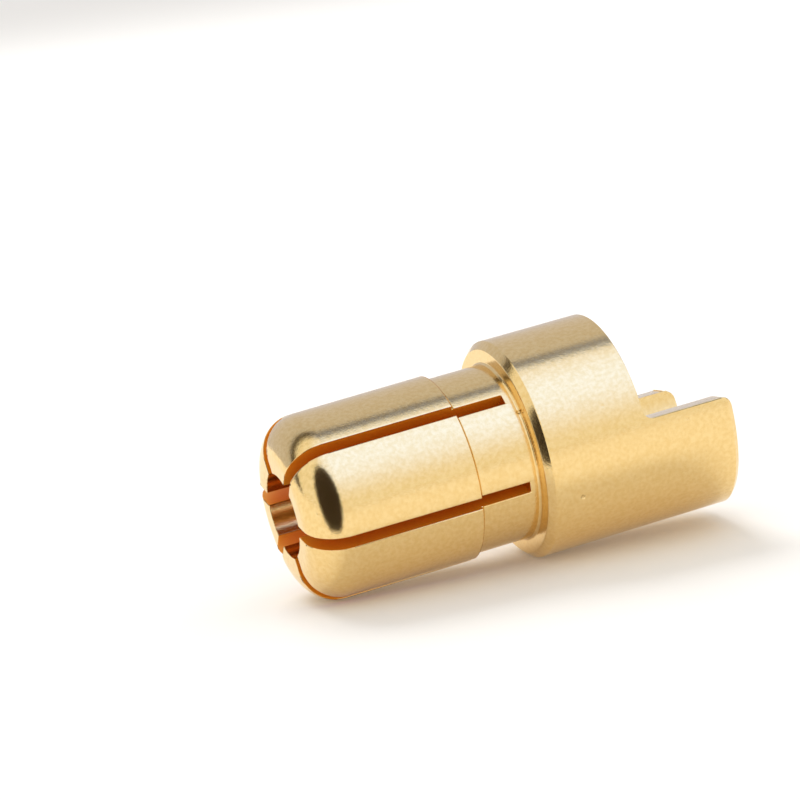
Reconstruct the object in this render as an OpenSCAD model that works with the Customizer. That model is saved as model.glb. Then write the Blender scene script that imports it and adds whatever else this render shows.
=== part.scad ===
// Slotted bullet plug for a heavy battery lead: six sprung contact fingers with
// a domed nose, a larger body behind them, and a solder cup cut open as a trough.
// One turned and milled piece of brass, gold plated, lying on its side.
//
// It is drawn about its own axis, which runs along X: the nose points to -X, the
// face where the body steps up from the fingers is x = 0, and the cup ends at +X.
// lay_down() then tips it on to the two places that touch the surface beneath.

/* [Contact fingers] */
// Diameter over the front of the fingers
finger_d = 6.5; // [5.8:0.1:7.2]
// Length from the nose to the face of the body
finger_len = 8.1; // [6:0.1:12]
// Number of slots, and so of fingers
slot_count = 6; // [4:1:8]
// Width of a slot where it ends, near the body
slot_w = 0.37; // [0.2:0.01:0.6]
// Extra width of a slot at the nose, where the fingers spread
slot_flare = 0.1; // [0:0.01:0.3]
// Whole ring left between the ends of the slots and the body
root_len = 0.36; // [0.2:0.02:1]
// Radius of the domed nose
nose_round = 1.3; // [0.8:0.05:1.4]
// Diameter of the hole drilled between the fingers from the nose
hollow_d = 3; // [2:0.1:3.4]

/* [Barrel behind the fingers' fronts] */
// Diameter of the slimmer rear part of the fingers
barrel_d = 6.18; // [5.2:0.02:6.18]
// Length of that rear part, from the face of the body
barrel_len = 2.16; // [1:0.02:4]
// Fillet between the barrel and the face of the body
root_fillet = 0.1; // [0.05:0.05:0.25]

/* [Body] */
// Diameter of the body
body_d = 7.7; // [7.4:0.1:9]
// Length of the full round part of the body
body_len = 3.84; // [2.5:0.02:6]
// Chamfer on the front edge of the body
front_chamfer = 0.24; // [0.1:0.02:0.34]
// Solid web between the hollow of the fingers and the solder cup
web_len = 1.2; // [0.8:0.1:2]

/* [Solder cup] */
// Thickness of the wall of the cup
cup_wall = 1.15; // [0.6:0.05:1.5]
// Play that the milled trough springs open by, on the radius
trough_spring = 0.03; // [0.01:0.01:0.1]
// Length of the open trough behind the full round part, along the axis
trough_len = 3.64; // [2:0.02:5]
// Slant of the open end, which leaves the far edge of the trough longer
end_slant = 6; // [0:0.5:8]
// Height of the trough's edges above the axis
trough_rise = 0.12; // [0:0.02:0.5]
// Radius of the rounded corners at the open end
corner_round = 0.4; // [0.2:0.05:1]
// Radius left by the cutter in the corner under the shoulder
cutter_round = 0.3; // [0.1:0.05:0.6]
// Chamfer on the outer edge of the open end
end_chamfer = 0.15; // [0.05:0.05:0.3]

/* [Lie] */
// Turn of the first slot about the axis, from straight up to the near side
slot_turn = 44.5; // [30:0.5:60]
// Turn of the open side of the cup, from straight up to the near side
cup_turn = -6; // [-30:1:30]

/* [Hidden] */
$fn = 96;
GOLD = "#e2bd72";

// Radii about the axis
finger_r = finger_d / 2;
barrel_r = barrel_d / 2;
hollow_r = hollow_d / 2;
body_r = body_d / 2;
cup_r = body_r - cup_wall;

// Places along the axis
nose_x = -finger_len;
hollow_end_x = -root_len / 2;
cup_floor_x = hollow_end_x + web_len;
shoulder_x = body_len;
end_x = body_len + trough_len;

// Centre of the nose's round, as a point of the outline
dome_x = nose_x + nose_round;
dome_r = finger_r - nose_round;

// Tilt at which one straight line touches both the front edge of the body and
// the round of the nose, and what then brings the lowest point to z = 0 and the
// middle of the length to x = 0
edge_dx = front_chamfer - dome_x;
edge_dr = body_r - dome_r;
tilt = atan2(edge_dr, edge_dx) - asin(nose_round / norm([edge_dx, edge_dr]));
lift = body_r * cos(tilt) - front_chamfer * sin(tilt);
front_reach = dome_x * cos(tilt) - dome_r * sin(tilt) - nose_round;
end_slope = tan(end_slant) * cos(tilt);
end_lean = norm([end_slope * cos(cup_turn), sin(tilt) - end_slope * sin(cup_turn)]);
rear_reach = end_x * cos(tilt) + (body_r - end_chamfer) * end_lean;

// Clear overshoot for cutting shapes
over = 1;

// A rectangle of the outline: x along the axis, y the radius
module span(x0, x1, r0, r1) {
    translate([x0, r0]) square([x1 - x0, r1 - r0]);
}

// Outline of the fingers and barrel, solid to the axis
module fingers_outline() {
    difference() {
        span(nose_x, -barrel_len, 0, finger_r);
        difference() {
            span(nose_x - over, dome_x, dome_r, finger_r + over);
            translate([dome_x, dome_r]) circle(nose_round);
        }
    }
    span(-barrel_len, over / 2, 0, barrel_r);
    // Fillet that runs out into the face of the body
    difference() {
        span(-root_fillet, over / 2, 0, barrel_r + root_fillet);
        translate([-root_fillet, barrel_r + root_fillet]) circle(root_fillet);
    }
}

// Outline of the body, long enough to be cut off at the slanted end
module body_outline() {
    difference() {
        span(0, end_x + over, 0, body_r);
        polygon([
            [-over, body_r - front_chamfer - over],
            [front_chamfer + over, body_r + over],
            [-over, body_r + over]
        ]);
    }
}

// Outline of what is turned off behind the open end, with its outer chamfer
module end_outline() {
    polygon([
        [0, 0],
        [0, body_r - end_chamfer],
        [-end_chamfer - over, body_r + over],
        [3 * over, body_r + over],
        [3 * over, 0]
    ]);
}

// An outline spun about the X axis
module turned() {
    rotate([0, 90, 0]) rotate_extrude() mirror([1, 1]) mirror([1, 0]) children();
}

// One slot, straight up from the axis, wider towards the nose
module slot() {
    rear_x = -root_len;
    front_w = slot_w + slot_flare;
    linear_extrude(height = finger_r + over) polygon([
        [rear_x, -slot_w / 2],
        [rear_x, slot_w / 2],
        [nose_x - over, front_w / 2],
        [nose_x - over, -front_w / 2]
    ]);
}

// What the milling cutter takes off to open the cup, straight up from the axis.
// Its outline lies in the XZ plane and runs the full width of the body.
module cup_opening() {
    rotate([90, 0, 0]) linear_extrude(height = body_d + 2 * over, center = true) {
        difference() {
            translate([shoulder_x, trough_rise]) square([trough_len + over, body_r + over]);
            difference() {
                translate([shoulder_x - over, trough_rise - over])
                    square([over + cutter_round, over + cutter_round]);
                translate([shoulder_x + cutter_round, trough_rise + cutter_round]) circle(cutter_round);
            }
        }
    }
}

// What trims the open end, about the point of the axis where the cup ends, with
// both upper corners rounded off
module end_trim() {
    turned() end_outline();
    rotate([90, 0, 0]) linear_extrude(height = body_d + 2 * over, center = true) {
        difference() {
            translate([-corner_round, trough_rise - corner_round])
                square([corner_round + over, corner_round + over]);
            translate([-corner_round, trough_rise - corner_round]) circle(corner_round);
        }
    }
}

// Tips the part from its own axis on to the surface beneath it
module lay_down() {
    translate([-(front_reach + rear_reach) / 2, 0, lift]) rotate([0, -tilt, 0]) children();
}

module bullet_plug() {
    color(GOLD) lay_down() difference() {
        union() {
            turned() fingers_outline();
            turned() body_outline();
        }
        turned() span(nose_x - over, hollow_end_x, 0, hollow_r);
        turned() span(cup_floor_x, shoulder_x, 0, cup_r);
        turned() span(shoulder_x, end_x + 2 * over, 0, cup_r + trough_spring);
        for (i = [0 : slot_count - 1])
            rotate([slot_turn + i * 360 / slot_count, 0, 0]) slot();
        rotate([cup_turn, 0, 0]) {
            cup_opening();
            translate([end_x, 0, 0]) rotate([0, 0, -end_slant]) end_trim();
        }
    }
}

bullet_plug();
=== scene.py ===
import math

import bpy
from mathutils import Matrix, Quaternion, Vector


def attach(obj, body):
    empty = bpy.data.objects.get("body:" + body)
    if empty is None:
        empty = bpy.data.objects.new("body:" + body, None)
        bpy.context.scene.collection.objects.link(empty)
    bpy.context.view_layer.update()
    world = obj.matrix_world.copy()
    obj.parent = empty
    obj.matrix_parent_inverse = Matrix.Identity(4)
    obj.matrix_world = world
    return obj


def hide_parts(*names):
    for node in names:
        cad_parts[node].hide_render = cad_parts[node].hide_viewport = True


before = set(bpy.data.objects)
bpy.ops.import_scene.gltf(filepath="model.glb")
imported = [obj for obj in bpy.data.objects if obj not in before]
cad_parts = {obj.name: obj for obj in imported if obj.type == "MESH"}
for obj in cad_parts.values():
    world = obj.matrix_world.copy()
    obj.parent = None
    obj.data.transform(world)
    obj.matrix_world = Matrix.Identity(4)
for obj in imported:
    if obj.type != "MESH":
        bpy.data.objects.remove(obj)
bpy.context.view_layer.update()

MM = 0.001

# ---------------------------------------------------------------------------
# Sizes of the plug in millimetres, along and about its own axis
# ---------------------------------------------------------------------------
FINGER_R = 3.25
FINGER_LEN = 8.1
SLOT_COUNT = 6
SLOT_W = 0.37
SLOT_FLARE = 0.1
ROOT_LEN = 0.36
NOSE_ROUND = 1.3
HOLLOW_R = 1.5
BARREL_R = 3.09
BARREL_LEN = 2.16
ROOT_FILLET = 0.1
BODY_R = 3.85
BODY_LEN = 3.84
FRONT_CHAMFER = 0.24
WEB_LEN = 1.2
CUP_R = 2.7
# How much larger the trough's bore is than the closed stretch, on the radius
TROUGH_STEP = 0.03
TROUGH_LEN = 3.64
END_SLANT = math.radians(6)
TROUGH_RISE = 0.12
CORNER_ROUND = 0.4
CUTTER_ROUND = 0.3
END_CHAMFER = 0.15
SLOT_TURN = math.radians(44.5)
CUP_TURN = math.radians(-6)

NOSE_X = -FINGER_LEN
DOME_X = NOSE_X + NOSE_ROUND
DOME_R = FINGER_R - NOSE_ROUND
HOLLOW_END = -ROOT_LEN / 2
CUP_FLOOR = HOLLOW_END + WEB_LEN
TROUGH_R = CUP_R + TROUGH_STEP
END_X = BODY_LEN + TROUGH_LEN

# How far the cutting shapes reach past what they cut
OVER = 1.0
CUTTER_WIDTH = 2 * BODY_R + 2 * OVER

# The lie: tipped on to the nose and the front edge of the body
EDGE_DX = FRONT_CHAMFER - DOME_X
EDGE_DR = BODY_R - DOME_R
TILT = (math.atan2(EDGE_DR, EDGE_DX)
        - math.asin(NOSE_ROUND / math.hypot(EDGE_DX, EDGE_DR)))
LIFT = BODY_R * math.cos(TILT) - FRONT_CHAMFER * math.sin(TILT)
FRONT_REACH = DOME_X * math.cos(TILT) - DOME_R * math.sin(TILT) - NOSE_ROUND
END_SLOPE = math.tan(END_SLANT) * math.cos(TILT)
END_LEAN = math.hypot(END_SLOPE * math.cos(CUP_TURN),
                      math.sin(TILT) - END_SLOPE * math.sin(CUP_TURN))
REAR_REACH = END_X * math.cos(TILT) + (BODY_R - END_CHAMFER) * END_LEAN
SHIFT = -(FRONT_REACH + REAR_REACH) / 2

# Facets round the turned faces and along the rounds
SPIN_STEPS = 192
HOLLOW_STEPS = 96
NOSE_STEPS = 28
FILLET_STEPS = 5
CUTTER_STEPS = 6
CORNER_STEPS = 8
BEVEL_STEPS = 2

# Fine edges: the bevel on all of them, the turned edge behind the fingers'
# fronts, and the score line beside it
EDGE_BEVEL = 0.03
FRONT_EDGE = 0.02
SCORE_DEPTH = 0.04
SCORE_WIDTH = 0.05
SCORE_SLOPE = 0.01
BEVEL_FROM = math.radians(38)
SMOOTH_UP_TO = math.radians(40)
EVEN_WEIGHT = 50

# Distances at which points are joined, after turning and after bevelling
TURNED_JOIN = 1e-4
BEVELLED_JOIN = 2e-4

# What counts as a sawn wall of a slot, which gets the painted slot light: clear of the
# slot's end and of the fingers' skin, within reach of the slot's middle, and facing across
# it
SLOT_END_GAP = 0.01
SKIN = 0.06
SLOT_REACH = 0.45
FACING = 0.9

# Dents: place along the axis, radius, turn about the axis from straight up to
# the near side, and size
DENTS = (
    (1.22, BODY_R, math.radians(112.6), 0.11),
    (-0.06, BARREL_R, math.radians(56.4), 0.11),
)
# How far the tips of the fingers are pressed in, from the first slot onwards
FINGER_PRESS = (0.0, 0.07, 0.0, 0.0, 0.0, 0.05)


# ---------------------------------------------------------------------------
# Modelling; one unit is a millimetre until the plug is laid down
# ---------------------------------------------------------------------------
def choose(piece):
    bpy.ops.object.select_all(action="DESELECT")
    piece.select_set(True)
    bpy.context.view_layer.objects.active = piece


def start_edit():
    bpy.ops.object.mode_set(mode="EDIT")
    bpy.ops.mesh.select_all(action="SELECT")


def end_edit(join=None):
    """Joins points that meet, where asked to, and turns the faces outwards."""
    bpy.ops.mesh.select_all(action="SELECT")
    if join:
        bpy.ops.mesh.remove_doubles(threshold=join)
    bpy.ops.mesh.normals_make_consistent(inside=False)
    bpy.ops.object.mode_set(mode="OBJECT")


def outline_object(name, points, closed):
    """A line through (along, height) points in the XZ plane."""
    count = len(points)
    edges = [(i, i + 1) for i in range(count - 1)]
    if closed:
        edges.append((count - 1, 0))
    mesh = bpy.data.meshes.new(name)
    mesh.from_pydata([(x, 0.0, r) for x, r in points], edges, [])
    piece = bpy.data.objects.new(name, mesh)
    bpy.context.scene.collection.objects.link(piece)
    choose(piece)
    return piece


def turned(name, points, steps=SPIN_STEPS):
    """An outline of (along, radius) points, from axis to axis, spun about X."""
    piece = outline_object(name, points, closed=False)
    start_edit()
    bpy.ops.mesh.spin(steps=steps, angle=2 * math.pi, center=(0, 0, 0), axis=(1, 0, 0))
    end_edit(join=TURNED_JOIN)
    return piece


def prism(name, points, width):
    """A closed outline in the XZ plane, filled and extruded to width across Y."""
    piece = outline_object(name, points, closed=True)
    start_edit()
    bpy.ops.mesh.edge_face_add()
    bpy.ops.mesh.extrude_region_move(TRANSFORM_OT_translate={"value": (0, width, 0)})
    bpy.ops.mesh.select_all(action="SELECT")
    bpy.ops.transform.translate(value=(0, -width / 2, 0))
    end_edit()
    return piece


def turn_piece(piece, matrix):
    """Moves a piece and puts its place into its mesh."""
    piece.matrix_world = matrix
    choose(piece)
    bpy.ops.object.transform_apply(location=True, rotation=True, scale=True)


def cut(piece, cutter):
    choose(piece)
    step = piece.modifiers.new("cut", "BOOLEAN")
    step.operation = "DIFFERENCE"
    step.solver = "EXACT"
    step.object = cutter
    bpy.ops.object.modifier_apply(modifier=step.name)
    bpy.data.objects.remove(cutter)


def arc(cx, cy, radius, start, end, steps):
    span = end - start
    return [(cx + radius * math.cos(start + span * i / steps),
             cy + radius * math.sin(start + span * i / steps)) for i in range(steps + 1)]


def about_axis(turn):
    return Matrix.Rotation(turn, 4, "X")


def slot_turn(i):
    return SLOT_TURN + i * 2 * math.pi / SLOT_COUNT


def lie():
    """From the plug's own axis to the way it rests."""
    return Matrix.Translation((SHIFT, 0, LIFT)) @ Matrix.Rotation(-TILT, 4, "Y")


def plug_outline():
    """The plug's outline from the middle of the nose to behind the open end."""
    score = BARREL_R - SCORE_DEPTH
    line = [(NOSE_X, 0.0)]
    line += arc(DOME_X, DOME_R, NOSE_ROUND, math.pi, math.pi / 2, NOSE_STEPS)
    line += [
        (-BARREL_LEN - FRONT_EDGE, FINGER_R),
        (-BARREL_LEN, FINGER_R - FRONT_EDGE),
        (-BARREL_LEN, score),
        (-BARREL_LEN + SCORE_WIDTH, score),
        (-BARREL_LEN + SCORE_WIDTH + SCORE_SLOPE, BARREL_R),
    ]
    line += arc(-ROOT_FILLET, BARREL_R + ROOT_FILLET, ROOT_FILLET,
                -math.pi / 2, 0, FILLET_STEPS)
    line += [
        (0.0, BODY_R - FRONT_CHAMFER),
        (FRONT_CHAMFER, BODY_R),
        (END_X + OVER, BODY_R),
        (END_X + OVER, 0.0),
    ]
    return line


def hollow_cutter():
    """The hole drilled between the fingers."""
    front = NOSE_X - OVER
    line = [(front, 0), (front, HOLLOW_R), (HOLLOW_END, HOLLOW_R), (HOLLOW_END, 0)]
    return turned("hollow", line, HOLLOW_STEPS)


def cup_cutter():
    """The solder cup's bore: the closed stretch, then the trough's."""
    rear = END_X + 2 * OVER
    line = [(CUP_FLOOR, 0), (CUP_FLOOR, CUP_R), (BODY_LEN, CUP_R),
            (BODY_LEN, TROUGH_R), (rear, TROUGH_R), (rear, 0)]
    return turned("cup_bore", line)


def trough_cutter():
    """Everything over the trough, with the cutter's round under the shoulder."""
    right, top = END_X + OVER, BODY_R + OVER
    corner = arc(BODY_LEN + CUTTER_ROUND, TROUGH_RISE + CUTTER_ROUND, CUTTER_ROUND,
                 math.pi, 1.5 * math.pi, CUTTER_STEPS)
    line = [(BODY_LEN, top)] + corner + [(right, TROUGH_RISE), (right, top)]
    piece = prism("trough_cutter", line, CUTTER_WIDTH)
    turn_piece(piece, about_axis(CUP_TURN))
    return piece


def end_frame():
    """The slanted plane of the open end."""
    return (about_axis(CUP_TURN) @ Matrix.Translation((END_X, 0, 0))
            @ Matrix.Rotation(-END_SLANT, 4, "Z"))


def end_cutter():
    """What is turned off behind the open end, with its outer chamfer."""
    reach = 3 * OVER
    line = [(0.0, 0.0), (0.0, BODY_R - END_CHAMFER), (-END_CHAMFER - OVER, BODY_R + OVER),
            (reach, BODY_R + OVER), (reach, 0.0)]
    piece = turned("end_cutter", line)
    turn_piece(piece, end_frame())
    return piece


def corner_cutter():
    """Rounds both upper corners at the open end."""
    low = TROUGH_RISE - CORNER_ROUND
    line = arc(-CORNER_ROUND, low, CORNER_ROUND, math.pi / 2, 0, CORNER_STEPS)
    line = ([(-CORNER_ROUND, TROUGH_RISE + OVER)] + line
            + [(OVER, low), (OVER, TROUGH_RISE + OVER)])
    piece = prism("corner_cutter", line, CUTTER_WIDTH)
    turn_piece(piece, end_frame())
    return piece


def slot_cutter(turn):
    """One slot, wider towards the nose."""
    rear, front = -ROOT_LEN, NOSE_X - OVER
    wide = SLOT_W + SLOT_FLARE
    height = FINGER_R + OVER
    line = [(rear, -SLOT_W / 2), (rear, SLOT_W / 2), (front, wide / 2), (front, -wide / 2)]
    piece = prism("slot_cutter", line, height)
    upright = Matrix.Translation((0, 0, height / 2)) @ about_axis(math.pi / 2)
    turn_piece(piece, about_axis(turn) @ upright)
    return piece


def press_fingers(piece):
    """Each finger bends inwards from its root, by its own amount at the nose."""
    step = 2 * math.pi / SLOT_COUNT
    for vertex in piece.data.vertices:
        x, y, z = vertex.co
        bend = (-x - ROOT_LEN) / (FINGER_LEN - ROOT_LEN)
        if bend <= 0:
            continue
        around = (math.atan2(-y, z) - SLOT_TURN) % (2 * math.pi)
        finger = min(int(around / step), SLOT_COUNT - 1)
        middle = SLOT_TURN + (finger + 0.5) * step
        inward = Vector((0, math.sin(middle), -math.cos(middle)))
        vertex.co += inward * FINGER_PRESS[finger] * bend * bend


def bevel_edges(piece):
    choose(piece)
    edge = piece.modifiers.new("edges", "BEVEL")
    edge.width = EDGE_BEVEL
    edge.segments = BEVEL_STEPS
    edge.limit_method = "ANGLE"
    edge.angle_limit = BEVEL_FROM
    edge.use_clamp_overlap = False
    bpy.ops.object.modifier_apply(modifier=edge.name)
    start_edit()
    end_edit(join=BEVELLED_JOIN)


def smooth_faces(piece):
    """Smooth rounds, with flat faces kept even up to their bevels."""
    bpy.ops.object.shade_smooth_by_angle(angle=SMOOTH_UP_TO)
    even = piece.modifiers.new("even_faces", "WEIGHTED_NORMAL")
    even.mode = "FACE_AREA"
    even.weight = EVEN_WEIGHT
    even.keep_sharp = True
    bpy.ops.object.modifier_apply(modifier=even.name)


def is_slot_wall(face):
    x, y, z = face.center
    if x > -ROOT_LEN + SLOT_END_GAP or math.hypot(y, z) > FINGER_R - SKIN:
        return False
    for i in range(SLOT_COUNT):
        turn = slot_turn(i)
        across = Vector((0, -math.cos(turn), -math.sin(turn)))
        upward = Vector((0, -math.sin(turn), math.cos(turn)))
        if (face.center.dot(upward) > 0 and abs(face.center.dot(across)) < SLOT_REACH
                and abs(face.normal.dot(across)) > FACING):
            return True
    return False


def add_platings(piece):
    """Gold all over, with the second material, which paints light into the slots, on the
    sawn walls of the slots.
    """
    piece.data.materials.clear()
    piece.data.materials.append(gold_plating())
    piece.data.materials.append(slot_painted_light())
    for face in piece.data.polygons:
        if is_slot_wall(face):
            face.material_index = 1


def plug():
    piece = turned("plug_gold", plug_outline())
    for make_cutter in (hollow_cutter, cup_cutter, trough_cutter, end_cutter, corner_cutter):
        cut(piece, make_cutter())
    for i in range(SLOT_COUNT):
        cut(piece, slot_cutter(slot_turn(i)))
    press_fingers(piece)
    bevel_edges(piece)
    smooth_faces(piece)
    add_platings(piece)
    turn_piece(piece, Matrix.Scale(MM, 4) @ lie())
    return piece


# ---------------------------------------------------------------------------
# Materials
# ---------------------------------------------------------------------------
def linear(code):
    """The linear colour of a hex code."""
    parts = [int(code[i:i + 2], 16) / 255 for i in (1, 3, 5)]
    return [p / 12.92 if p <= 0.04045 else ((p + 0.055) / 1.055) ** 2.4
            for p in parts] + [1.0]


def add_node(tree, kind, **values):
    """A node with its settings and sockets set.

    A linked socket is given as a tuple (node, socket), a setting has set_
    before its name, and in0, in1 and so on are sockets by number.
    """
    made = tree.nodes.new(kind)
    for key, value in values.items():
        if key.startswith("set_"):
            setattr(made, key[4:], value)
            continue
        if key.startswith("in") and key[2:].isdigit():
            socket = made.inputs[int(key[2:])]
        else:
            socket = made.inputs[key.replace("_", " ")]
        if isinstance(value, tuple) and len(value) == 2 and hasattr(value[0], "outputs"):
            tree.links.new(value[0].outputs[value[1]], socket)
        else:
            socket.default_value = value
    return made


def noise(tree, place, scale, **values):
    return add_node(tree, "ShaderNodeTexNoise", Vector=place, Scale=scale, **values)


def mix_colour(tree, factor, first, second):
    """Its colour comes out of socket 2."""
    return add_node(tree, "ShaderNodeMix", set_data_type="RGBA", Factor=factor,
                    in6=first, in7=second)


def mix_level(tree, factor, first, second):
    """Its number comes out of socket 0."""
    return add_node(tree, "ShaderNodeMix", set_data_type="FLOAT", Factor=factor,
                    in2=first, in3=second)


def layered_bumps(tree, layers):
    """Bumps laid one over another, from (height, strength, depth in metres)."""
    under = {}
    for height, strength, depth in layers:
        made = add_node(tree, "ShaderNodeBump", Strength=strength, Distance=depth,
                        Height=height, **under)
        under = {"Normal": (made, "Normal")}
    return made


def fresh_material(name):
    material = bpy.data.materials.new(name)
    material.use_nodes = True
    material.node_tree.nodes.clear()
    return material, material.node_tree


# Scales of the patterns in the plating, per metre
RING_SCALE = (18000, 350, 350)
GRAIN_SCALE = 22000.0
WAVE_SCALE = 700.0
PIT_SCALE = 900.0
SMUDGE_SCALE = 14000.0
MOTTLE_SCALE = 7000.0
SAW_SCALE = (1500, 9000, 9000)
# Depths of its bumps, and how far a dent's outline wanders, in metres
FINE_DEPTH = 0.00001
PIT_DEPTH = 0.00002
DENT_DEPTH = 0.00005
SMEAR = 0.00012


def dent_heights(tree, place):
    """The height of each dent, at its place along and about the axis."""
    smudge = noise(tree, (place, "Object"), SMUDGE_SCALE)
    smear = add_node(tree, "ShaderNodeVectorMath", set_operation="MULTIPLY_ADD",
                     in0=(smudge, "Color"), in1=(SMEAR,) * 3, in2=(place, "Object"))
    heights = []
    for x, radius, turn, size in DENTS:
        spot = Vector((x, -radius * math.sin(turn), radius * math.cos(turn)))
        middle = lie() @ spot * MM + Vector((SMEAR / 2,) * 3)
        away = add_node(tree, "ShaderNodeVectorMath", set_operation="DISTANCE",
                        in0=(smear, "Vector"), in1=tuple(middle))
        heights.append(add_node(tree, "ShaderNodeMapRange",
                                set_interpolation_type="SMOOTHSTEP",
                                Value=(away, "Value"), From_Max=size * MM))
    return heights


def gold_plating():
    material, tree = fresh_material("gold_plating")
    place = add_node(tree, "ShaderNodeTexCoord")
    along = add_node(tree, "ShaderNodeMapping", Vector=(place, "Object"),
                     Rotation=(0, TILT, 0))
    # Fine rings left by the turning tool, about 0.05 mm apart
    ring_place = add_node(tree, "ShaderNodeMapping", Vector=(along, "Vector"),
                          Scale=RING_SCALE)
    rings = noise(tree, (ring_place, "Vector"), 1.0, Detail=2.0)
    # Grain of the plating, about 0.04 mm, and slow waves from polishing, about 1.5 mm
    grain = noise(tree, (along, "Vector"), GRAIN_SCALE, Detail=2.0)
    waves = noise(tree, (along, "Vector"), WAVE_SCALE, Detail=1.0)
    # Sparse small pits
    pits = add_node(tree, "ShaderNodeTexVoronoi", Vector=(along, "Vector"), Scale=PIT_SCALE)
    pit_height = add_node(tree, "ShaderNodeMapRange", Value=(pits, "Distance"),
                          From_Min=0.02, From_Max=0.07)
    # Mottling of the bright dip under the gold, about 0.14 mm
    mottle = noise(tree, (along, "Vector"), MOTTLE_SCALE, Detail=3.0)
    layers = [
        ((rings, "Fac"), 0.06, FINE_DEPTH),
        ((grain, "Fac"), 0.22, FINE_DEPTH),
        ((waves, "Fac"), 0.25, FINE_DEPTH),
        ((pit_height, "Result"), 0.5, PIT_DEPTH),
    ]
    layers += [((dent, "Result"), 1.0, DENT_DEPTH) for dent in dent_heights(tree, place)]
    layers += [((mottle, "Fac"), 0.22, FINE_DEPTH)]
    relief = layered_bumps(tree, layers)
    gloss = add_node(tree, "ShaderNodeMapRange", Value=(grain, "Fac"),
                     To_Min=0.10, To_Max=0.20)
    patch = add_node(tree, "ShaderNodeMapRange", Value=(mottle, "Fac"),
                     From_Min=0.35, From_Max=0.65)
    tone = mix_colour(tree, (patch, "Result"), linear("#F6D89A"), linear("#EFCD8A"))
    shader = add_node(tree, "ShaderNodeBsdfPrincipled", Metallic=1.0, Base_Color=(tone, 2),
                      Roughness=(gloss, "Result"), Normal=(relief, "Normal"))
    add_node(tree, "ShaderNodeOutputMaterial", Surface=(shader, "BSDF"))
    return material


def slot_painted_light():
    """The walls sawn between the fingers: duller, and painted a brighter, deeper orange.

    That orange, the half-diffuse surface and a faint glow are painted light: they stand for
    the light that leaves a slot only after many bounces.
    """
    material, tree = fresh_material("slot_painted_light")
    place = add_node(tree, "ShaderNodeTexCoord")
    along = add_node(tree, "ShaderNodeMapping", Vector=(place, "Object"),
                     Rotation=(0, TILT, 0), Scale=SAW_SCALE)
    saw = noise(tree, (along, "Vector"), 1.0, Detail=3.0)
    # Painted light: a bright orange for the light bounced many times inside the slot, varied
    # by the saw pattern
    tone = mix_colour(tree, (saw, "Fac"), linear("#F2A62A"), linear("#E6951E"))
    relief = layered_bumps(tree, [((saw, "Fac"), 0.3, FINE_DEPTH)])
    # The half-diffuse surface and the faint orange glow are painted light as well
    shader = add_node(tree, "ShaderNodeBsdfPrincipled", Metallic=0.5, Base_Color=(tone, 2),
                      Roughness=0.4, Emission_Color=linear("#C8640C"),
                      Emission_Strength=0.05, Normal=(relief, "Normal"))
    add_node(tree, "ShaderNodeOutputMaterial", Surface=(shader, "BSDF"))
    return material


# How much the floor glows for the camera, and the painted glow that lightens its reflections
# in the gold
CAMERA_LIFT = 0.09
MIRRORED_LIFT = 0.12


def floor_paper():
    material, tree = fresh_material("floor_paper")
    rays = add_node(tree, "ShaderNodeLightPath")
    seen = mix_colour(tree, (rays, "Is Camera Ray"), linear("#F0EEEA"), linear("#F6F5F3"))
    # Painted reflection: mirrored in the gold, the floor glows brighter, which lightens its
    # shadow there
    shine = add_node(tree, "ShaderNodeMath", set_operation="MULTIPLY",
                     in0=(rays, "Is Glossy Ray"), in1=MIRRORED_LIFT)
    lift = add_node(tree, "ShaderNodeMath", set_operation="MULTIPLY_ADD",
                    in0=(rays, "Is Camera Ray"), in1=CAMERA_LIFT, in2=(shine, "Value"))
    shader = add_node(tree, "ShaderNodeBsdfPrincipled", Base_Color=(seen, 2), Roughness=0.7,
                      Specular_IOR_Level=0.1, Emission_Color=linear("#FFF6EA"),
                      Emission_Strength=(lift, "Value"))
    add_node(tree, "ShaderNodeOutputMaterial", Surface=(shader, "BSDF"))
    return material


def black_card():
    material, tree = fresh_material("black_card")
    shader = add_node(tree, "ShaderNodeBsdfPrincipled", Base_Color=linear("#2A2016"),
                      Roughness=0.9)
    add_node(tree, "ShaderNodeOutputMaterial", Surface=(shader, "BSDF"))
    return material


# ---------------------------------------------------------------------------
# Camera
# ---------------------------------------------------------------------------
TARGET = Vector((-2.83, 1.373, 6.009)) * MM
CAMERA_AZIMUTH = math.radians(18.61)
CAMERA_HEIGHT = math.radians(9.273)
CAMERA_ROLL = math.radians(-7.863)
CAMERA_DISTANCE = 109.66 * MM
CLIP_START = 0.001
LENS = 144


def look():
    return Vector((math.sin(CAMERA_AZIMUTH) * math.cos(CAMERA_HEIGHT),
                   math.cos(CAMERA_AZIMUTH) * math.cos(CAMERA_HEIGHT),
                   -math.sin(CAMERA_HEIGHT)))


def camera_turn():
    return look().to_track_quat("-Z", "Y") @ Quaternion((0, 0, 1), CAMERA_ROLL)


def camera_place():
    return TARGET - look() * CAMERA_DISTANCE


def camera_vector(right, down, forward):
    """A direction given as right, down and forward of the camera, as one of the frame's."""
    return tuple(camera_turn() @ Vector((right, -down, -forward)).normalized())


def add_camera():
    data = bpy.data.cameras.new("camera")
    data.lens = LENS
    data.clip_start = CLIP_START
    camera = bpy.data.objects.new("camera", data)
    bpy.context.scene.collection.objects.link(camera)
    camera.matrix_world = (Matrix.Translation(camera_place())
                           @ camera_turn().to_matrix().to_4x4())
    bpy.context.scene.camera = camera


# ---------------------------------------------------------------------------
# Light
# ---------------------------------------------------------------------------
# The tent as it is mirrored, from before the plug to behind it
TENT_STOPS = (
    (0.0, "#FFFDF8"), (0.475, "#FFFDF8"), (0.51, "#3C3226"),
    (0.565, "#3C3226"), (0.60, "#CFD0DE"), (1.0, "#D8D8E4"),
)
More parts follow.
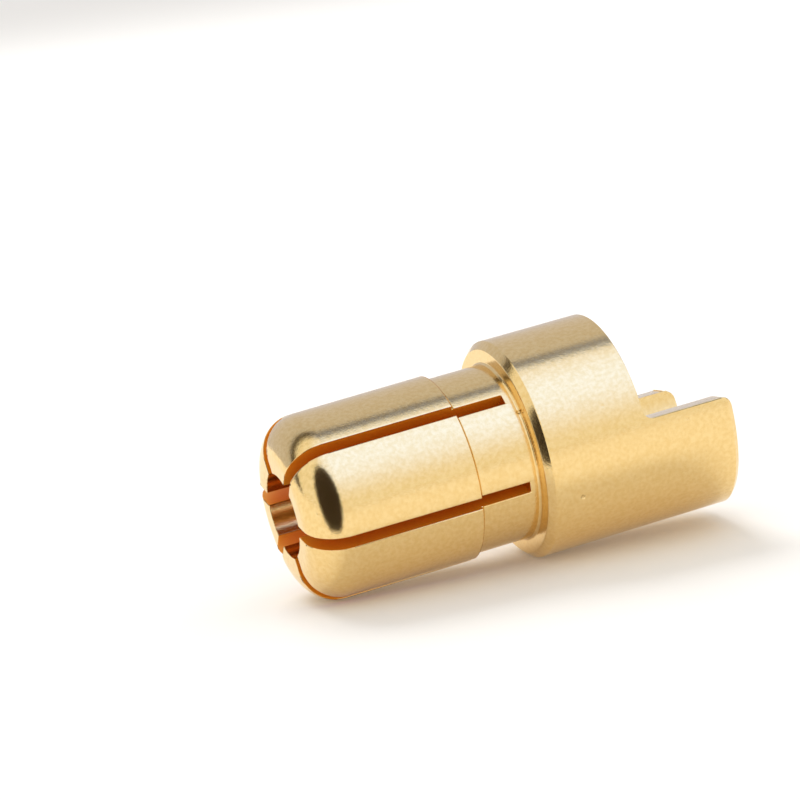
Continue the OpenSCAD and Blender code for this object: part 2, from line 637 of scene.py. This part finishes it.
# Its brightest part, the edge of that, and what it lights and mirrors with
KEY = camera_vector(0.27, -0.81, -0.52)
KEY_LIGHT = (1.12, 1.42, 2.5, 1.0)
KEY_EDGE = 0.6
LIT_FROM, LIT_TO = 0.62, 0.95
MIRRORED_LEVEL = 0.98

LAMP_PLACE = (-0.03, 0.32, 0.38)
LAMP_WIDTH = 0.30
LAMP_POWER = 1.2

# The flag's middle right of, above and before the camera, its half sizes in
# millimetres, and how far it leans
FLAG_PLACE = (-4.2, -3.0, -99.3)
FLAG_SIZE = (3.9, 5.9, 1.0)
FLAG_LEAN = math.radians(18)
FLAG_CORNERS = 48

FLOOR_SIZE = 4.0
FLOOR_GAP = 0.00002


def towards(tree, place, direction):
    """How nearly each direction of the world is the given one."""
    return add_node(tree, "ShaderNodeVectorMath", set_operation="DOT_PRODUCT",
                    in0=(place, "Generated"), in1=direction)


def tent_wall(tree, place):
    """The tent's colours: bright before the plug, then a dark seam, then dull."""
    behind = towards(tree, place, tuple(look()))
    spread = add_node(tree, "ShaderNodeMapRange", Value=(behind, "Value"), From_Min=-1.0)
    wall = add_node(tree, "ShaderNodeValToRGB", Fac=(spread, "Result"))
    ramp = wall.color_ramp
    for end in (0, -1):
        position, code = TENT_STOPS[end]
        ramp.elements[end].position = position
        ramp.elements[end].color = linear(code)
    for position, code in TENT_STOPS[1:-1]:
        ramp.elements.new(position).color = linear(code)
    return wall


def add_world():
    """A bright tent, brightest high in front of the plug.

    Mirrored rays see its seam and its brightest part, the others only a soft
    change of level, and the camera sees white.
    """
    world = bpy.data.worlds.new("tent")
    bpy.context.scene.world = world
    world.use_nodes = True
    tree = world.node_tree
    tree.nodes.clear()
    place = add_node(tree, "ShaderNodeTexCoord")
    wall = tent_wall(tree, place)
    near_key = towards(tree, place, KEY)
    nearness = add_node(tree, "ShaderNodeMapRange", Value=(near_key, "Value"),
                        From_Min=KEY_EDGE)
    glow = add_node(tree, "ShaderNodeMath", set_operation="POWER",
                    in0=(nearness, "Result"), in1=2.0)
    tent = mix_colour(tree, (glow, "Value"), (wall, "Color"), KEY_LIGHT)
    soft = add_node(tree, "ShaderNodeMapRange", Value=(near_key, "Value"),
                    From_Min=0.0, To_Min=LIT_FROM, To_Max=LIT_TO)
    rays = add_node(tree, "ShaderNodeLightPath")
    mirrored = mix_colour(tree, (rays, "Is Glossy Ray"), linear("#FFFDFA"), (tent, 2))
    seen = mix_colour(tree, (rays, "Is Camera Ray"), (mirrored, 2), (1, 1, 1, 1))
    lit = mix_level(tree, (rays, "Is Glossy Ray"), (soft, "Result"), MIRRORED_LEVEL)
    level = mix_level(tree, (rays, "Is Camera Ray"), (lit, 0), 1.0)
    back = add_node(tree, "ShaderNodeBackground", Color=(seen, 2), Strength=(level, 0))
    add_node(tree, "ShaderNodeOutputWorld", Surface=(back, "Background"))


def add_back_lamp():
    """A softbox high behind the plug, which throws its soft shadow forwards."""
    data = bpy.data.lights.new("back_softbox", "AREA")
    data.shape = "DISK"
    data.size = LAMP_WIDTH
    data.energy = LAMP_POWER
    lamp = bpy.data.objects.new("back_softbox", data)
    lamp.location = LAMP_PLACE
    lamp.rotation_euler = (-lamp.location).to_track_quat("-Z", "Y").to_euler()
    lamp.visible_glossy = False
    bpy.context.scene.collection.objects.link(lamp)


def add_flag():
    """A small dark card before the nose, seen only as a reflection."""
    middle = camera_place() + camera_turn() @ Vector(FLAG_PLACE) * MM
    turn = camera_turn() @ Quaternion((0, 0, 1), FLAG_LEAN)
    bpy.ops.mesh.primitive_circle_add(vertices=FLAG_CORNERS, radius=MM, fill_type="NGON",
                                      location=middle, rotation=turn.to_euler())
    card = bpy.context.active_object
    card.name = "flag_card"
    card.scale = FLAG_SIZE
    card.data.materials.append(black_card())
    card.visible_camera = False
    card.visible_diffuse = False
    card.visible_shadow = False


def add_floor():
    bpy.ops.object.select_all(action="DESELECT")
    bpy.ops.mesh.primitive_plane_add(size=FLOOR_SIZE, location=(0, 0, -FLOOR_GAP))
    floor = bpy.context.active_object
    floor.name = "floor"
    floor.data.materials.append(floor_paper())


def main():
    piece = plug()
    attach(piece, "root")
    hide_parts("bullet_plug")

    add_floor()
    add_camera()
    add_world()
    add_back_lamp()
    add_flag()
    bpy.context.scene.view_settings.view_transform = "Standard"


main()
